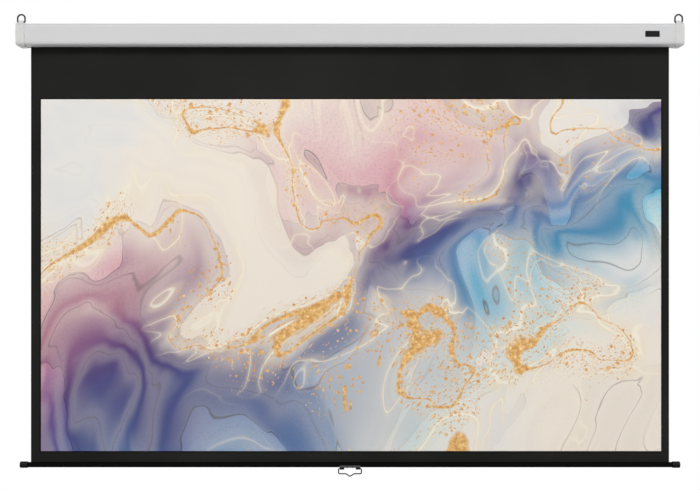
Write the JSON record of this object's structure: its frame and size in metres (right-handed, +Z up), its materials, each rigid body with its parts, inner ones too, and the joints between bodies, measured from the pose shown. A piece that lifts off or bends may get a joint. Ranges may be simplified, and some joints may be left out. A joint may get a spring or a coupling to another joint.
{
  "type": "pull-down projection screen",
  "caption": "Spring-roller projection screen in a square housing, hung by two rings, with a black-bordered sheet, a weight bar and a wire pull handle.",
  "frame": {"origin": "midway between the two points where a hook bears on a hanging ring, directly above the roller's axis", "axes": "+X to the right of someone facing the screen, along the housing; +Y towards the wall; +Z up"},
  "size_m": [2.3672, 0.0756, 1.649],
  "materials": {
    "coated_steel": "satin white powder coat",
    "white_plastic": "fine-grained white moulding",
    "black_plastic": "black moulding",
    "black_cloth": "matt black coated fabric",
    "screen_white": "matt white viewing coat with a printed marbled design",
    "bar_paint": "black paint",
    "dark_wire": "dark plated wire",
    "grey_steel": "grey plated steel",
    "zinc_steel": "bright zinc plate",
    "nylon": "natural nylon"
  },
  "bodies": {
    "housing": {"housing_shell": "coated_steel", "badge_plate": "black_plastic", "end_cap_right": "white_plastic", "end_cap_left": "white_plastic", "end_plate_right": "zinc_steel", "end_plate_left": "zinc_steel", "bearing_bush": "nylon", "plate_screw_right_upper": "zinc_steel", "plate_screw_left_upper": "zinc_steel", "plate_screw_right_lower": "zinc_steel", "plate_screw_left_lower": "zinc_steel", "cap_screw_right": "zinc_steel", "cap_screw_left": "zinc_steel", "spring_shaft": "zinc_steel", "shaft_clip": "zinc_steel", "ratchet_wheel": "grey_steel", "spring_anchor": "grey_steel", "torsion_spring": "grey_steel", "fabric_sheet": "black_cloth", "viewing_surface": "screen_white"},
    "roller": {"roller_tube": "zinc_steel", "roller_plug_right": "grey_steel", "roller_plug_left": "nylon", "idle_pin": "zinc_steel", "shaft_guide_disc": "nylon", "plug_rivet_right": "zinc_steel", "plug_rivet_left": "zinc_steel", "fabric_roll": "black_cloth", "pawl_pin_upper": "zinc_steel", "pawl_pin_lower": "zinc_steel"},
    "upper_pawl": {"pawl_upper": "grey_steel"},
    "lower_pawl": {"pawl_lower": "grey_steel"},
    "right_ring": {"hanging_ring_right": "dark_wire"},
    "left_ring": {"hanging_ring_left": "dark_wire"},
    "bottom_bar": {"weight_bar": "bar_paint", "bar_cap_right": "black_plastic", "bar_cap_left": "black_plastic", "hem_spline": "nylon", "handle_bracket": "grey_steel", "bracket_rivet_right": "grey_steel", "bracket_rivet_left": "grey_steel", "pivot_block_right": "black_plastic", "pivot_block_left": "black_plastic"},
    "bail": {"pull_handle": "dark_wire"}
  },
  "joints": [
    {"name": "screen_drop", "type": "slide", "parent": "housing", "child": "bottom_bar", "axis": [0, 0, 1], "range_m": [0, 1.4749], "deforming": ["fabric_sheet", "viewing_surface"]},
    {"name": "roller_spin", "type": "hinge", "parent": "housing", "child": "roller", "pos_m": [0, 0, -0.0715], "axis": [1, 0, 0], "range_deg": [0, 3600]},
    {"name": "right_ring_swing", "type": "hinge", "parent": "housing", "child": "right_ring", "pos_m": [1.1675, 0, -0.024], "axis": [1, 0, 0], "range_deg": [-96, 96]},
    {"name": "left_ring_swing", "type": "hinge", "parent": "housing", "child": "left_ring", "pos_m": [-1.1675, 0, -0.024], "axis": [1, 0, 0], "range_deg": [-96, 96]},
    {"name": "handle_swing", "type": "hinge", "parent": "bottom_bar", "child": "bail", "pos_m": [0, 0.02177, -1.6138], "axis": [1, 0, 0], "range_deg": [-115, 115]},
    {"name": "upper_pawl_swing", "type": "hinge", "parent": "roller", "child": "upper_pawl", "pos_m": [1.15185, -0.009, -0.0595], "axis": [-1, 0, 0], "range_deg": [0, 20]},
    {"name": "lower_pawl_swing", "type": "hinge", "parent": "roller", "child": "lower_pawl", "pos_m": [1.15185, 0.009, -0.0835], "axis": [-1, 0, 0], "range_deg": [0, 20]}
  ],
  "couplings": [
    {"joint": "roller_spin", "follows": "screen_drop", "rad_per_m": 42.601}
  ]
}
